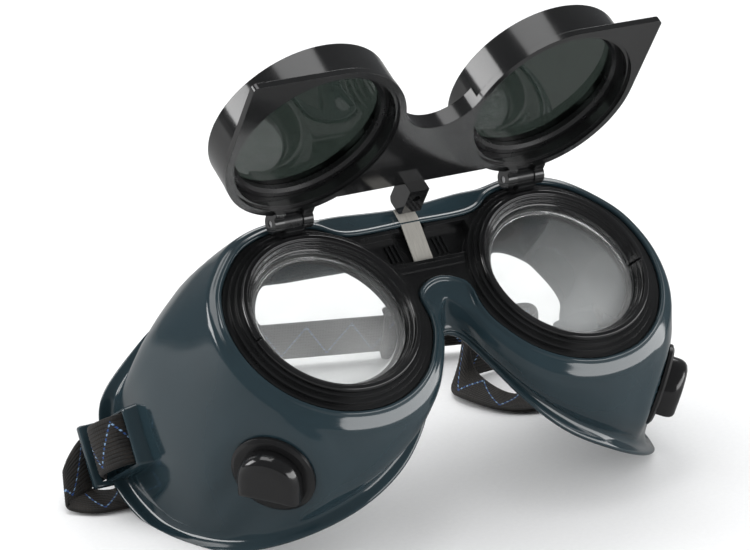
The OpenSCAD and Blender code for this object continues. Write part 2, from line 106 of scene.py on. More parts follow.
def outward(obj):
    """Joins points that coincide and turns every face outwards."""
    bm = bmesh.new()
    bm.from_mesh(obj.data)
    bmesh.ops.remove_doubles(bm, verts=bm.verts, dist=1e-7)
    bmesh.ops.recalc_face_normals(bm, faces=bm.faces)
    bm.to_mesh(obj.data)
    bm.free()


def smooth(obj, angle):
    """Smooth shading, with hard edges where faces meet at more than the angle."""
    for polygon in obj.data.polygons:
        polygon.use_smooth = True
    obj.data.set_sharp_from_angle(angle=math.radians(angle))


def apply_modifiers(obj):
    evaluated = obj.evaluated_get(bpy.context.evaluated_depsgraph_get())
    mesh = bpy.data.meshes.new_from_object(evaluated)
    obj.modifiers.clear()
    obj.data = mesh


def bevel(obj, width):
    m = obj.modifiers.new("bevel", "BEVEL")
    m.width, m.segments = width * MM, 3
    m.limit_method, m.angle_limit = "ANGLE", math.radians(30)
    apply_modifiers(obj)


def boolean(obj, tool, operation="DIFFERENCE"):
    """Cuts the tool out of a piece, or joins it on, and deletes the tool."""
    m = obj.modifiers.new("bool", "BOOLEAN")
    m.object, m.operation, m.solver = tool, operation, "EXACT"
    apply_modifiers(obj)
    bpy.data.objects.remove(tool)


def grid_faces(rows, columns, closed_rows, closed_columns):
    """Quads over a grid of points numbered row by row."""
    faces = []
    for i in range(rows if closed_rows else rows - 1):
        for j in range(columns if closed_columns else columns - 1):
            a, b = i * columns + j, i * columns + (j + 1) % columns
            k = (i + 1) % rows * columns
            faces.append([a, k + j, k + (j + 1) % columns, b])
    return faces


def rounded(corners, steps=4):
    """A closed profile of [r, y] points from corners (r, y, rounding)."""
    n, out = len(corners), []
    for i, (r, y, rounding) in enumerate(corners):
        p, a, b = Vector((r, y)), Vector(corners[i - 1][:2]), Vector(corners[(i + 1) % n][:2])
        reach = min(rounding, (a - p).length * 0.49, (b - p).length * 0.49)
        if reach < 1e-3:
            out.append(p)
            continue
        start, end = p + (a - p).normalized() * reach, p + (b - p).normalized() * reach
        for k in range(steps + 1):
            t = k / steps
            out.append(start * (1 - t) ** 2 + p * 2 * t * (1 - t) + end * t * t)
    return out


def lathe(name, profile, centre, matrix, axis="Y", steps=128, arc=(0, 360)):
    """Turns a closed [radius, along] profile about the Y or Z axis through centre."""
    full = abs(arc[1] - arc[0]) >= 360
    rows = steps if full else steps + 1
    points = []
    for i in range(rows):
        a = math.radians(arc[0] + (arc[1] - arc[0]) * i / steps)
        for r, along in profile:
            u, v = r * math.cos(a), r * math.sin(a)
            offset = (u, along, v) if axis == "Y" else (u, v, along)
            points.append([c + o for c, o in zip(centre, offset)])
    n = len(profile)
    faces = grid_faces(rows, n, full, True)
    if not full:
        faces += [list(range(n)), list(range((rows - 1) * n, rows * n))]
    return mesh_object(name, points, faces, matrix)


def curve(p, t):
    """Catmull-Rom through p[1] to p[2]."""
    a, b, c, d = p
    return 0.5 * (2 * b + (c - a) * t + (2 * a - 5 * b + 4 * c - d) * t * t
                  + (3 * b - a - 3 * c + d) * t ** 3)


def closed_curve(points, steps):
    """Points on a smooth loop through all the points given."""
    p = [np.array(q, float) for q in points]
    n = len(p)
    return np.array([curve([p[i - 1], p[i], p[(i + 1) % n], p[(i + 2) % n]], k / steps)
                     for i in range(n) for k in range(steps)])


def open_curve(points, steps):
    """Points on a smooth line from the second point to the last but one."""
    p = [np.array(q, float) for q in points]
    out = [curve(p[i - 1:i + 3], k / steps) for i in range(1, len(p) - 2) for k in range(steps)]
    return np.array(out + [p[-2]])


def unit_rows(v):
    return v / np.maximum(np.linalg.norm(v, axis=-1, keepdims=True), 1e-9)


# ---------------------------------------------------------------- shader helpers

def new_material(name):
    """A material, its node tree and its main shader."""
    material = bpy.data.materials.new(name)
    material.use_nodes = True
    tree = material.node_tree
    return material, tree, tree.nodes["Principled BSDF"]


def plug(tree, target, inputs):
    """Sets a node's inputs by name or number, each to a value or to another node's output."""
    for key, value in inputs.items():
        if isinstance(value, bpy.types.NodeSocket):
            tree.links.new(value, target.inputs[key])
        else:
            target.inputs[key].default_value = value


def node(tree, kind, inputs=None, **settings):
    made = tree.nodes.new(kind)
    for key, value in settings.items():
        setattr(made, key, value)
    plug(tree, made, inputs or {})
    return made


def math_node(tree, operation, a, b=0.0):
    return node(tree, "ShaderNodeMath", {0: a, 1: b}, operation=operation).outputs[0]


def object_place(tree):
    """Where a point is in its object; objects lie in the row frame, so this is in metres."""
    return node(tree, "ShaderNodeTexCoord").outputs["Object"]


def noise(tree, scale, detail=4.0, roughness=0.55):
    """Noise from 0 to 1, with a scale in waves to the metre."""
    made = node(tree, "ShaderNodeTexNoise", {"Vector": object_place(tree), "Scale": scale,
                                             "Detail": detail, "Roughness": roughness})
    return made.outputs["Fac"]


def ramp(tree, factor, low, high, start=0.3, end=0.7):
    """Low up to the start, high from the end on, and in proportion between them."""
    made = node(tree, "ShaderNodeMapRange", {"Value": factor, "From Min": start,
                                             "From Max": end, "To Min": low, "To Max": high})
    return made.outputs["Result"]


def mix_colour(tree, factor, a, b):
    """a where the factor is 0 and b where it is 1; each is (r, g, b) or a node's output."""
    made = node(tree, "ShaderNodeMix", data_type="RGBA")
    for key, value in (("Factor", factor), ("A", a), ("B", b)):
        socket = next(s for s in made.inputs if s.name == key and s.enabled)
        if isinstance(value, bpy.types.NodeSocket):
            tree.links.new(value, socket)
        else:
            socket.default_value = (*value, 1)
    return next(s for s in made.outputs if s.enabled)


def mix_shader(tree, factor, a, b):
    return node(tree, "ShaderNodeMixShader", {0: factor, 1: a, 2: b}).outputs[0]


def surface(tree, shader_output):
    plug(tree, tree.nodes["Material Output"], {"Surface": shader_output})


def bump(tree, height, strength, depth, normal=None):
    """A normal raised by a height from 0 to 1; the depth is in millimetres."""
    inputs = {"Height": height, "Strength": strength, "Distance": depth * MM}
    if normal is not None:
        inputs["Normal"] = normal
    return node(tree, "ShaderNodeBump", inputs).outputs["Normal"]


def ray(tree, kind):
    """1 on rays of a kind such as "Camera" or "Shadow", 0 on the others."""
    return node(tree, "ShaderNodeLightPath").outputs["Is " + kind + " Ray"]


def mirrored(tree):
    """1 on the rays that a glossy surface mirrors, 0 on the others."""
    return math_node(tree, "MULTIPLY", ray(tree, "Glossy"), ray(tree, "Reflection"))


# ---------------------------------------------------------------- materials

BLACK = (0.009, 0.009, 0.0095)
SHEEN_FULL, SHEEN_FADED = 0.05, 0.075      # metres above the bench between which the painted pale sheen on the clear lenses thins out
CORD_PITCH, CORD_DEPTH = 1.15, 0.26
STITCH_LENGTH = 0.9
ZIGZAG_LENGTH, ZIGZAG_WIDTH = 15.0, 11.5
FLECK_REACH = 0.45               # from the zigzag's middle line to its edge


def moulded(name, colour, roughness, edge, coat=0.0, variation=0.35):
    """Moulded plastic or PVC: soft mottling, fine grain, smudged gloss and eased edges."""
    material, tree, shader = new_material(name)
    broad, fine, smudge = noise(tree, 38, 5), noise(tree, 1400, 3), noise(tree, 110, 6, 0.65)
    dark, light = [tuple(c * k for c in colour) for k in (1 - variation, 1 + variation)]
    eased = node(tree, "ShaderNodeBevel", {"Radius": edge * MM}, samples=4).outputs["Normal"]
    grain = bump(tree, fine, 0.35, 0.006, eased)
    plug(tree, shader, {"Base Color": mix_colour(tree, ramp(tree, broad, 0, 1), dark, light),
                        "Roughness": ramp(tree, smudge, roughness * 0.8, roughness * 1.3),
                        "Coat Weight": coat, "Coat Roughness": 0.08,
                        "Normal": bump(tree, broad, 0.25, 0.12, grain)})
    return material


def brushed(name, colour, roughness, metallic):
    """Turned or rolled metal with fine streaks across X."""
    material, tree, shader = new_material(name)
    stretch = node(tree, "ShaderNodeMapping", {"Vector": object_place(tree),
                                               "Scale": (30, 1, 1)})
    streak = node(tree, "ShaderNodeTexNoise", {"Vector": stretch.outputs["Vector"],
                                               "Scale": 300, "Detail": 4}).outputs["Fac"]
    dull = tuple(c * 0.75 for c in colour)
    plug(tree, shader, {"Base Color": mix_colour(tree, ramp(tree, streak, 0, 1), dull, colour),
                        "Roughness": ramp(tree, streak, roughness * 0.7, roughness * 1.3),
                        "Metallic": metallic, "Normal": bump(tree, streak, 0.2, 0.01)})
    return material


def paint_lower_sheen(tree, clean, lower_sheen):
    """Lays a pale diffuse film over a shader, thicker towards the bench: a painted highlight for
    the white seen through the lower part of a lens.
    """
    height = node(tree, "ShaderNodeSeparateXYZ", {0: object_place(tree)}).outputs["Z"]
    # the painted sheen is full near the bench and a tenth of that higher up, with a little random
    # change
    lower_share = ramp(tree, height, lower_sheen, lower_sheen * 0.1, SHEEN_FULL, SHEEN_FADED)
    sheen_share = math_node(tree, "MULTIPLY", lower_share, ramp(tree, noise(tree, 45, 3), 0.75, 1.25))
    pale_layer = node(tree, "ShaderNodeBsdfDiffuse", {"Color": (0.75, 0.76, 0.76, 1)})
    return mix_shader(tree, sheen_share, clean, pale_layer.outputs["BSDF"])


def glass(name, tint, shadow, roughness, ior, lower_sheen=0.0):
    """Clear or dark glass that lets light through to what lies behind it."""
    material, tree, shader = new_material(name)
    specks = noise(tree, 900, 5, 0.7)
    plug(tree, shader, {"Base Color": (*tint, 1), "Transmission Weight": 1, "IOR": ior,
                        "Roughness": ramp(tree, specks, roughness * 0.5, roughness * 2, 0.4, 0.75),
                        "Normal": bump(tree, noise(tree, 60, 2), 0.15, 0.05)})
    look = shader.outputs["BSDF"]
    # painted pale sheen, thicker towards the bench
    if lower_sheen:
        look = paint_lower_sheen(tree, look, lower_sheen)
    clear = node(tree, "ShaderNodeBsdfTransparent", {"Color": (*shadow, 1)}).outputs["BSDF"]
    surface(tree, mix_shader(tree, ray(tree, "Shadow"), look, clear))
    return material


def webbing(name):
    """Ribbed elastic: cords along the strap, a cross weave and a zigzag of blue and white flecks.

    The mesh carries 'along' and 'across' in millimetres."""
    material, tree, shader = new_material(name)
    along, across = [node(tree, "ShaderNodeAttribute", attribute_name=key).outputs["Fac"]
                     for key in ("along", "across")]

    def sine(value, wavelength):
        angle = math_node(tree, "MULTIPLY", value, 2 * math.pi / wavelength)
        return math_node(tree, "SINE", angle)

    cord, stitch = sine(across, CORD_PITCH), sine(along, STITCH_LENGTH)
    # the zigzag is a triangle wave along the strap, broken between the cords
    wave = math_node(tree, "PINGPONG", along, ZIGZAG_LENGTH / 2)
    wave = math_node(tree, "MULTIPLY", wave, 2 * ZIGZAG_WIDTH / ZIGZAG_LENGTH)
    from_edge = math_node(tree, "SUBTRACT", across, -ZIGZAG_WIDTH / 2)
    off = math_node(tree, "ABSOLUTE", math_node(tree, "SUBTRACT", from_edge, wave))
    near = math_node(tree, "LESS_THAN", off, FLECK_REACH)
    on_cord = math_node(tree, "GREATER_THAN", cord, -0.35)
    every_other = math_node(tree, "GREATER_THAN", sine(across, 2 * CORD_PITCH), 0.1)
    fleck = math_node(tree, "MULTIPLY", near, on_cord)
    bright = math_node(tree, "MULTIPLY", fleck, every_other)
    worn_yarn = ramp(tree, noise(tree, 260), 0, 1)
    yarn = mix_colour(tree, worn_yarn, (0.007, 0.006, 0.0055), (0.022, 0.017, 0.013))
    # painted shade: the grooves between the cords are painted near-black, while the cords carry
    # the yarn colour
    groove_shaded = mix_colour(tree, ramp(tree, cord, 0, 1, -0.9, 0.3), (0.004, 0.0035, 0.003), yarn)
    blue = mix_colour(tree, fleck, groove_shaded, (0.012, 0.06, 0.22))
    weave = math_node(tree, "ADD", math_node(tree, "MULTIPLY", stitch, 0.4), noise(tree, 2600))
    plug(tree, shader, {"Base Color": mix_colour(tree, bright, blue, (0.2, 0.33, 0.5)),
                        "Roughness": 0.75, "Sheen Weight": 0.06,
                        "Normal": bump(tree, weave, 0.6, 0.08)})
    return material


PVC = moulded("soft_pvc", (0.017, 0.032, 0.040), 0.11, edge=0.3, coat=0.5, variation=0.1)
CARRIER = moulded("carrier_plastic", (0.010, 0.0103, 0.0108), 0.22, edge=0.2)
GLOSS = moulded("flip_plastic", (0.009, 0.0092, 0.0095), 0.12, edge=0.25, coat=0.4)
RING = moulded("ring_plastic", BLACK, 0.14, edge=0.15, coat=0.3)
FILTER_RING = moulded("filter_ring_plastic", BLACK, 0.24, edge=0.2)
VENT = moulded("vent_plastic", BLACK, 0.22, edge=0.2)
HOOD = moulded("hood_plastic", (0.008, 0.008, 0.0085), 0.15, edge=0.3, coat=0.3)
SLIDER = moulded("slider_plastic", (0.012, 0.012, 0.013), 0.3, edge=0.3)
GASKET = moulded("gasket_rubber", (0.02, 0.02, 0.02), 0.55, edge=0.1)
STEEL = brushed("pin_steel", (0.55, 0.55, 0.56), 0.3, metallic=0.85)
SPRING = brushed("spring_strip", (0.62, 0.6, 0.55), 0.45, metallic=0.45)
# the clear lenses get a painted pale sheen, thicker towards the bench
CLEAR = glass("clear_lens_glass", (0.97, 0.985, 0.98), (0.9, 0.92, 0.91), 0.008, 1.49, lower_sheen=0.26)
FILTER = glass("filter_glass", (0.02, 0.027, 0.023), (0.004, 0.006, 0.005), 0.015, 1.52)
STRAP = webbing("strap_webbing")


# ---------------------------------------------------------------- soft body

LENS_R = 25.0
OPEN_R = LENS_R + 6.5            # opening in the soft body round one lens
FACE_R = LENS_R + 10.6           # shoulder where the face turns into the side wall
OPEN_TOP = 25.0                  # height of the opening's edge over the nose
OPEN_LOW = 6.5                   # height of the opening's lower edge over the nose
GROOVE_FRONT, GROOVE_BACK, GROOVE_DEPTH = 3.0, 5.0, 2.5
WALL = 2.2                       # thickness of the side wall
WALL_Y = 6.0                     # where the side wall begins behind the collar faces
FLANGE = 4.5                     # width of the rim that rests on the face
BODY_STEPS = 6                   # sections from one station to the next

# from the middle of the brow round the temple to the nose: angle on the face circle,
# then the rear rim's x, y and z
RIM = [(108, 42, 41, 39.4), (90, 53, 43, 38.5), (72, 63, 47, 36.4), (55, 71, 52, 33),
       (32, 83, 64, 25), (15, 85, 72, 15), (-2, 85, 77, 2), (-20, 84, 71, -16),
       (-38, 81, 61, -30), (-56, 73, 49, -42), (-74, 60, 38, -48), (-95, 44, 28, -48.5),
       (-115, 29, 22.5, -42.5), (-135, 18, 18, -32.5), (-155, 10, 14.5, -20),
       (-168, 6.6, 13.2, -14)]


def on_circle(r, degrees):
    a = math.radians(degrees)
    return (LENS_X + r * math.cos(a), r * math.sin(a))


# a station holds the opening's [x, z], the shoulder's [x, z] and the rear rim's [x, y, z]
BROW = [((0, OPEN_TOP), (0, 32.2), (0, 34, 37)),
        (on_circle(OPEN_R, 127), (LENS_X - 20, 33.6), (28, 36.5, 39))]
CHEEK = [(on_circle(OPEN_R, a), on_circle(FACE_R, a), (x, y, z)) for a, x, y, z in RIM]
NOSE = [((8.4, 2.6), (2.6, -3.2), (3.6, 12.4, -9.6)),
        ((0, OPEN_LOW), (0, -0.8), (0, 12, -8))]
HALF = BROW + CHEEK + NOSE
OTHER = [tuple((-v[0], *v[1:]) for v in station) for station in HALF[-2:0:-1]]
STATIONS = HALF + OTHER

# vents: place on the wall and outward direction, on the right side
VENTS = {"upper": (Vector((45.6, 27.1, 34.9)), Vector((0.16, -0.04, 1)).normalized()),
         "lower": (Vector((66, 23, -33)), Vector((0.75, -0.13, -0.64)).normalized())}
VENT_HOLE_R = 7.1
HOLE_REACH = 9.0                 # length of the hole's cutter on each side of the wall
PAD = 0.3                        # height of a vent's flat seat above its place
PAD_R, PAD_BLEND = 13.6, 6.0     # radius of the seat, and how soon it eases back into the wall
PAD_REACH = 14.0                 # wall farther than this above or below a seat is another wall
REST_EASE = 0.6 * MM             # height over which the rim flattens where it stands


def outward_normals(p):
    """Unit normals of a closed outline of [x, z] points."""
    t = np.roll(p, -1, 0) - np.roll(p, 1, 0)
    return unit_rows(np.stack([-t[:, 1], t[:, 0]], 1))


def body_sections():
    """Closed cross-sections of the soft body, and how many points of each are on its outside.

    The sections are an array of [section, point, xyz]: forward round the outside from the
    opening to the rim, then back along the inside."""
    opening, shoulder, rim3 = [closed_curve([s[k] for s in STATIONS], BODY_STEPS)
                               for k in range(3)]
    rim, rim_y = rim3[:, [0, 2]], rim3[:, 1]
    n, m = outward_normals(shoulder), outward_normals(rim)
    u = unit_rows(shoulder - opening)
    # the flange is narrow at the nose, where the rim comes close to the face
    turned = np.clip((rim_y - 8) / 14, 0.25, 1)[:, None]
    # the face band is level over the lenses; below them it is wider and slopes outwards
    off_nose = np.clip((np.abs(shoulder[:, 0]) - 8) / 14, 0, 1)
    below = np.clip(-1.4 * u[:, 1], 0, 1) * off_nose
    shoulder = shoulder + 1.3 * below[:, None] * n
    wall_end = rim - FLANGE * turned * m
    far = rim_y - WALL_Y
    bulge = (4 * np.minimum(1, far / 30))[:, None]
    mid, mid_y = shoulder + (wall_end - shoulder) * 0.36 + bulge * n, WALL_Y + far * 0.33
    low, low_y = shoulder + (wall_end - shoulder) * 0.72 + 0.8 * bulge * m, WALL_Y + far * 0.7
    drop = np.minimum(2.4, 0.2 * far)
    lip = [(opening, 2.9), (opening + 0.1 * u, 2.0), (opening + 0.6 * u, 1.6),
           (opening + 1.2 * u, 1.7), (opening + 1.6 * u, 2.4), (opening + 2.0 * u, 2.7)]
    face_band = [(opening + 3.0 * u, 2.9 + 0.45 * below),
                 (shoulder - 0.7 * u, 3.3 + 1.15 * below),
                 (shoulder - 0.1 * u, 3.7 + 1.3 * below), (shoulder + 0.3 * n, 4.7 + 1.3 * below)]
    side_wall = [(shoulder + t * (mid - shoulder) + out * n, WALL_Y + t_y * (mid_y - WALL_Y))
                 for t, t_y, out in ((0.16, 0.18, 0.75), (0.5, 0.5, 0.6))]
    side_wall += [(mid, mid_y), ((mid + low) / 2 + 0.25 * bulge * n, (mid_y + low_y) / 2),
                  (low, low_y), (wall_end + 0.1 * m, rim_y - drop)]
    flange = [(wall_end + 0.25 * (rim - wall_end), rim_y - 0.5 * drop),
              (wall_end + 0.6 * (rim - wall_end), rim_y - 0.9), (rim - 0.25 * m, rim_y - 0.8),
              (rim, rim_y)]
    flange_back = [(rim - 0.25 * m, rim_y + 0.8),
                   (wall_end + 0.5 * (rim - wall_end), rim_y + 0.8),
                   (wall_end, rim_y + 0.6), (wall_end - 0.8 * WALL * m, rim_y - 0.6)]
    inner_wall = [(wall_end - WALL * m + 0.12 * (low - wall_end), rim_y - 1.6 * drop),
                  (low - WALL * m, low_y), (mid - WALL * n, mid_y + 0.5),
                  (shoulder - 0.8 * WALL * n, WALL_Y + np.minimum(3.5, 1.4 + 0.08 * far))]
    inner_lip = [(opening + 0.8 * u, 7.2), (opening + 0.15 * u, 6.8), (opening, 6.2),
                 (opening, 5.1)]
    groove = [(opening + 0.5 * u, GROOVE_BACK), (opening + GROOVE_DEPTH * u, GROOVE_BACK),
              (opening + GROOVE_DEPTH * u, GROOVE_FRONT), (opening + 0.5 * u, GROOVE_FRONT)]
    outside = lip + face_band + side_wall + flange
    ring = []
    for xz, y in outside + flange_back + inner_wall + inner_lip + groove:
        ring.append(np.stack([xz[:, 0], np.broadcast_to(y, len(xz)), xz[:, 1]], 1))
    return np.stack(ring, 1), len(outside)


def seat_vents(points, outer_count):
    """Flattens the wall under each vent, and eases it back into the wall round the flange."""
    for side in (LEFT, RIGHT):
        for place, direction in VENTS.values():
            c = np.array((side * place.x, place.y, place.z))
            d = np.array((side * direction.x, direction.y, direction.z))
            offset = points - c
            height = offset @ d
            radius = np.linalg.norm(offset - height[..., None] * d, axis=-1)
            t = np.clip((PAD_R + PAD_BLEND - radius) / PAD_BLEND, 0, 1)
            share = t * t * (3 - 2 * t) * (np.abs(height) < PAD_REACH)
            target = np.full(points.shape[:2], PAD)
            target[:, outer_count:] = PAD - WALL
            points += (share * (target - height))[..., None] * d


def vent_matrix(kind, side):
    """Vent millimetres (+Z out of the wall, +Y to the front of the goggles) to row metres."""
    place, d = VENTS[kind]
    turn = math.atan2(d.x, d.z)
    mirror = Matrix.Scale(side, 4, (1, 0, 0))
    return (WORN @ Matrix.Translation((side * place.x, place.y, place.z)) @ mirror
            @ Matrix.Rotation(turn, 4, "Y") @ Matrix.Rotation(math.asin(-d.y), 4, "X")
            @ Matrix.Rotation(math.pi, 4, "Z"))


def make_soft_body():
    points, outer_count = body_sections()
    seat_vents(points, outer_count)
    rows, columns, _ = points.shape
    body = mesh_object("soft_body", points.reshape(-1, 3), grid_faces(rows, columns, True, True),
                       WORN, 60)
    m = body.modifiers.new("round", "SUBSURF")
    m.levels = m.render_levels = 1
    apply_modifiers(body)
    bore = [(NEAR_AXIS, -HOLE_REACH), (VENT_HOLE_R, -HOLE_REACH), (VENT_HOLE_R, HOLE_REACH),
            (NEAR_AXIS, HOLE_REACH)]
    for side in (LEFT, RIGHT):
        for kind in VENTS:
            boolean(body, lathe("hole", bore, (0, 0, 0), vent_matrix(kind, side), "Z", 48))
    # the rim flattens softly on to the floor and keeps its wall
    for v in body.data.vertices:
        if v.co.z < REST_EASE:
            v.co.z = REST_EASE * math.exp(v.co.z / REST_EASE - 1)
    smooth(body, 50)
    finish_piece(body, PVC, "soft_body", "frame_body")


# ---------------------------------------------------------------- strap lugs

STRAP_W, STRAP_T = 15.0, 1.5
LUG_POS = Vector((82.3, 62, 7))
LUG_TILT = math.radians(20)
LUG_L = 15.0                     # middle of a lug to the back of its slotted plate
LUG_FRONT = 12.0                 # middle of a lug to its front
LUG_H = STRAP_W / 2 + 2.1
LUG_ROOT = -4.0                  # a housing starts inside the wall
LUG_OUT, PLATE_OUT = 4.2, 8.4    # how far the housing and the plate stand out
PLATE_ROOT, PLATE_T = -2.0, 2.6  # where the plate starts inside the wall, and its thickness
WELL_FLOOR, WELL_FRONT = 0.8, 3.0        # height of the well's floor, thickness of its front
SLOT_OUT = PLATE_OUT - 4         # middle of the slot for the strap
SLOT_W, SLOT_REACH = STRAP_W + 0.8, 1.4  # width of the slot, and from its middle to its sides


def lug_matrix(side):
    """Lug millimetres (X outwards, Y backwards along the lug) to row metres."""
    return (WORN @ Matrix.Scale(side, 4, (1, 0, 0)) @ Matrix.Translation(LUG_POS)
            @ Matrix.Rotation(LUG_TILT, 4, "X"))


def block(name, low, high, matrix, inset=(0, 0, 0, 0)):
    """A box from low to high; inset draws in its +X face by (low y, high y, low z, high z)."""
    (x0, y0, z0), (x1, y1, z1) = low, high
    a, b, c, d = inset
    points = [(x0, y0, z0), (x0, y1, z0), (x0, y1, z1), (x0, y0, z1),
              (x1, y0 + a, z0 + c), (x1, y1 - b, z0 + c), (x1, y1 - b, z1 - d),
              (x1, y0 + a, z1 - d)]
    faces = [[0, 1, 2, 3], [4, 7, 6, 5], [0, 4, 5, 1], [1, 5, 6, 2], [2, 6, 7, 3], [3, 7, 4, 0]]
    return mesh_object(name, points, faces, matrix)


def make_lug(name, side):
    """Bevelled housing with a well for the strap's end, and the slotted plate behind it."""
    m = lug_matrix(side)
    plate_front = LUG_L - PLATE_T
    housing = block(name, (LUG_ROOT, -LUG_FRONT, -LUG_H), (LUG_OUT, LUG_L - 1, LUG_H), m,
                    inset=(1.8, 0, 1, 1))
    bevel(housing, 1.0)
    boolean(housing, block("well", (WELL_FLOOR, WELL_FRONT - LUG_FRONT, -SLOT_W / 2),
                           (LUG_OUT + 4, plate_front, SLOT_W / 2), m))
    plate = block("plate", (PLATE_ROOT, plate_front, -LUG_H), (PLATE_OUT, LUG_L, LUG_H), m)
    bevel(plate, 0.7)
    boolean(plate, block("slot", (SLOT_OUT - SLOT_REACH, LUG_L - 5, -SLOT_W / 2),
                         (SLOT_OUT + SLOT_REACH, LUG_L + 3, SLOT_W / 2), m))
    boolean(housing, plate, "UNION")
    smooth(housing, 30)
    finish_piece(housing, PVC, "soft_body")


# ---------------------------------------------------------------- strap

def lug_point(side, out, along):
    """A point on the strap's middle line at a lug, on the bench."""
    p = Vector((0, along, 0))
    p.rotate(Matrix.Rotation(LUG_TILT, 3, "X"))
    x, y, z = LUG_POS.x + out, LUG_POS.y + p.y, LUG_POS.z + p.z
    return (side * x, y * COS + z * SIN, LIFT - y * SIN + z * COS)


LUG_ACROSS = (0, -math.sin(LUG_TILT) * COS + math.cos(LUG_TILT) * SIN,
              math.sin(LUG_TILT) * SIN + math.cos(LUG_TILT) * COS)


def strap_end(side):
    """From the strap's end in a lug's well, forwards and round over the housing, then through
    the slot and out behind the plate."""
    stops = [(1.9, -3), (1.75, -5), (3.2, -7.6), (6.6, -7.2), (9.4, -2), (9.2, 4.5), (5.3, 11),
             (SLOT_OUT, LUG_L - 1.2), (SLOT_OUT + 0.2, LUG_L + 4.5)]
    return [(lug_point(side, out, along), LUG_ACROSS) for out, along in stops]


# the straight stretch that the slider rides on
RIDE_FROM, RIDE_TO = np.array((-19.4, 130.4, 9.5)), np.array((83.2, 96.6, 9.5))
RIDE_ACROSS = (-0.11, -0.33, 0.94)
RIDE = [(RIDE_FROM + t * (RIDE_TO - RIDE_FROM), RIDE_ACROSS) for t in (0, 0.2, 0.4, 0.6, 0.8, 1)]

# places of the strap's middle line on the bench and the direction of its width there: it curls
# on to the bench, runs behind the goggles and doubles back behind the nose
STRAP_PATH = strap_end(LEFT) + [
    ((-91.5, 58.8, 8.4), (0.15, 0.7, 0.7)), ((-96.8, 56.2, 5.6), (0.35, 0.82, 0.45)),
    ((-95.8, 54.2, 3.4), (0.38, 0.88, 0.28)), ((-91, 50.5, 1.9), (0.37, 0.92, 0.1)),
    ((-85.5, 49.5, 1.2), (0.25, 0.97, 0)), ((-80, 50.3, 1.2), (0.05, 1, 0)),
    ((-73.5, 56, 3), (-0.75, 0.6, 0.12)), ((-66.5, 67, 7.2), (-0.6, 0.2, 0.75)),
    ((-60, 80, 8.3), (-0.2, 0.1, 0.97)), ((-52, 97, 8.2), (-0.1, 0, 1)),
    ((-44, 115, 8.2), (-0.05, -0.15, 1)), ((-34, 126, 8.9), (-0.1, -0.3, 0.95)),
    *RIDE,
    ((91.5, 91.5, 8.9), (0, 0, 1)), ((88.5, 84, 8.4), (0, 0, 1)), ((79, 82, 8.3), (0, 0, 1)),
    ((66, 81, 8.3), (0, 0, 1)), ((58, 79.5, 8.3), (0.1, 0.1, 0.98)),
    ((53, 73.9, 7), (0.6, 0.25, 0.75)), ((52.1, 67, 4), (0.75, 0.6, 0.25)),
    ((56, 55.5, 1.9), (0.55, 0.82, 0.05)), ((63.5, 51, 1.2), (0.3, 0.95, 0)),
    ((73, 53.5, 3.3), (-0.1, 0.95, 0.25)), ((82, 60.5, 6.8), (0, 0.75, 0.66)),
] + strap_end(RIGHT)[::-1]
STRAP_STEPS = 14                 # sections from one stop of the path to the next
CORD_STEPS = 6                   # points across one cord


def strap_section():
    """Half the strap's cross-section as [width, height] points: cords, thinner at both edges."""
    w = np.linspace(-STRAP_W / 2, STRAP_W / 2, int(STRAP_W / CORD_PITCH) * CORD_STEPS + 1)
    cord = np.sqrt(np.abs(np.sin(math.pi * w / CORD_PITCH)))
    edge = np.sqrt(np.clip(1 - (np.abs(w) / (STRAP_W / 2)) ** 14, 0.04, 1))
    return list(zip(w, (STRAP_T / 2 - CORD_DEPTH + CORD_DEPTH * cord) * edge))


def make_strap():
    """A band with cords across its width, swept along the strap's path."""
    middle = open_curve([p for p, _ in STRAP_PATH], STRAP_STEPS)
    widths = [unit_rows(np.array(d, float)) for _, d in STRAP_PATH]
    across = unit_rows(open_curve(widths, STRAP_STEPS))
    tangent = unit_rows(np.gradient(middle, axis=0))
    face = unit_rows(np.cross(tangent, across))
    length = np.concatenate([[0], np.cumsum(np.linalg.norm(np.diff(middle, axis=0), axis=1))])
    top = strap_section()
    section = top + [(w, -h) for w, h in top[::-1]]
    points, along, width = [], [], []
    for p, w_dir, f_dir, s in zip(middle, across, face, length):
        for w, h in section:
            points.append(p + w * w_dir + h * f_dir)
            along.append(s)
            width.append(w)
    n = len(section)
    faces = grid_faces(len(middle), n, False, True)
    faces += [list(range(n)), list(range(n * (len(middle) - 1), n * len(middle)))]
    strap = mesh_object("head_strap", points, faces, ON_BENCH, 60)
    for name, values in (("along", along), ("across", width)):
        strap.data.attributes.new(name, "FLOAT", "POINT").data.foreach_set("value", values)
    finish_piece(strap, STRAP, "strap", "strap")


# ---------------------------------------------------------------- lenses and rings

RING_SPLIT = {LEFT: 189, RIGHT: -9}      # degrees where a retaining ring is split
SPLIT_HALF = 0.9                 # degrees from the middle of the split to each end


def make_clear_lens(name, side):
    """A flat pane with a thicker rim that sits in the carrier."""
    front, back = 3.8, 4.7
    profile = rounded([(NEAR_AXIS, front, 0), (8, front, 0), (16, front, 0), (20.6, front, 0),
                       (21.4, front, 0.3), (22.1, 3.05, 0.3), (24.95, 3.05, 0.3),
                       (24.95, 5.35, 0.3), (22.4, 5.35, 0.3), (21.7, back, 0.3),
                       (20.8, back, 0), (16, back, 0), (8, back, 0), (NEAR_AXIS, back, 0)])
    lens = lathe("clear_lens_piece_" + name, profile, (side * LENS_X, 0, 0), WORN)
    finish_piece(lens, CLEAR, "clear_lens", "clear_lens_" + name)


